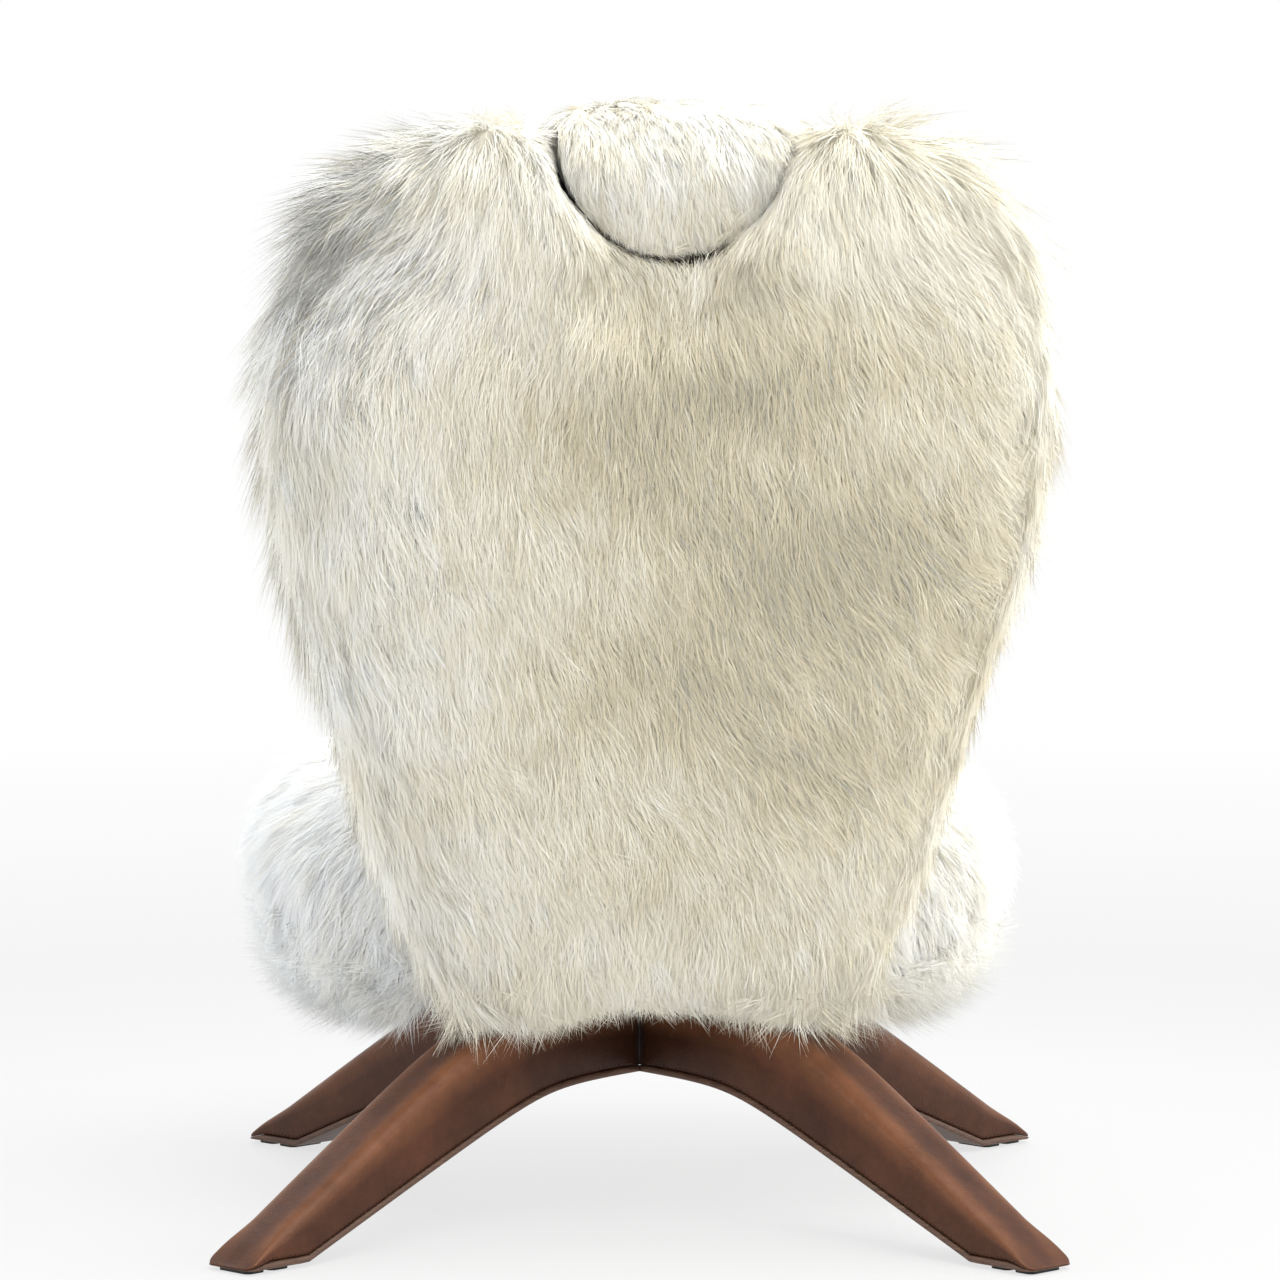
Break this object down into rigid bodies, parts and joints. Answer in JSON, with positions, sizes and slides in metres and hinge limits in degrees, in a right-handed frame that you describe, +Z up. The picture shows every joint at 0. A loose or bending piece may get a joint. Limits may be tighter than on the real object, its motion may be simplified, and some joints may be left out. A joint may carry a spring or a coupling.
{
  "type": "swivel lounge chair",
  "caption": "High-back swivel lounge chair covered in long fur, with a lifting half-round headrest, on splayed leather-wrapped legs.",
  "frame": {"origin": "on the floor, on the swivel axis, under the middle of the chair", "axes": "+Z up, -Y the way the sitter faces, +X the sitter's left"},
  "size_m": [0.7966, 0.8531, 1.0194],
  "materials": {
    "fur": "long ivory fur",
    "leather": "satin brown, lightly worn",
    "sole": "stitched sole strip",
    "glide": "matt black",
    "beech": "raw beech",
    "plywood": "raw birch plywood",
    "foam": "moulded foam",
    "plate_steel": "black powder coat",
    "bearing_steel": "ground",
    "rod_chrome": "polished",
    "zinc": "zinc plated",
    "cast_hub": "as cast",
    "brass": "turned",
    "guide_plastic": "moulded black"
  },
  "bodies": {
    "base": {"leg_core_rear_left": "beech", "leg_core_rear_right": "beech", "leg_core_front_right": "beech", "leg_core_front_left": "beech", "leg_leather_rear_left": "leather", "leg_leather_rear_right": "leather", "leg_leather_front_right": "leather", "leg_leather_front_left": "leather", "leg_sole_rear_left": "sole", "leg_sole_rear_right": "sole", "leg_sole_front_right": "sole", "leg_sole_front_left": "sole", "glides_rear_left": "glide", "glides_rear_right": "glide", "glides_front_right": "glide", "glides_front_left": "glide", "hub_block": "cast_hub", "hub_screws": "zinc", "base_plate": "plate_steel", "leg_bolts": "zinc", "lower_race": "bearing_steel", "bearing_balls": "bearing_steel", "ball_cage": "brass", "swivel_spindle": "bearing_steel", "spindle_washer": "zinc", "spindle_nut": "zinc"},
    "shell": {"upper_race": "bearing_steel", "swivel_plate": "plate_steel", "spindle_bush": "brass", "plate_bolts": "zinc", "board_inserts": "brass", "seat_board": "plywood", "back_board": "plywood", "back_bracket_left": "plate_steel", "back_bracket_right": "plate_steel", "bracket_screws": "zinc", "seat_foam": "foam", "seat_fur_upper": "fur", "seat_fur_lower": "fur", "back_foam_front": "foam", "back_foam_rear": "foam", "back_fur_front": "fur", "back_fur_rear": "fur", "guide_block": "guide_plastic", "guide_screws": "zinc"},
    "headrest": {"headrest_board": "plywood", "headrest_rods": "rod_chrome", "headrest_foam_front": "foam", "headrest_foam_rear": "foam", "headrest_fur_front": "fur", "headrest_fur_rear": "fur"}
  },
  "joints": [
    {"name": "swivel", "type": "hinge", "parent": "base", "child": "shell", "pos_m": [0, 0, 0.202], "axis": [0, 0, 1], "continuous": true},
    {"name": "headrest_lift", "type": "slide", "parent": "shell", "child": "headrest", "axis": [0, 0.309, 0.9511], "range_m": [0, 0.09]}
  ]
}
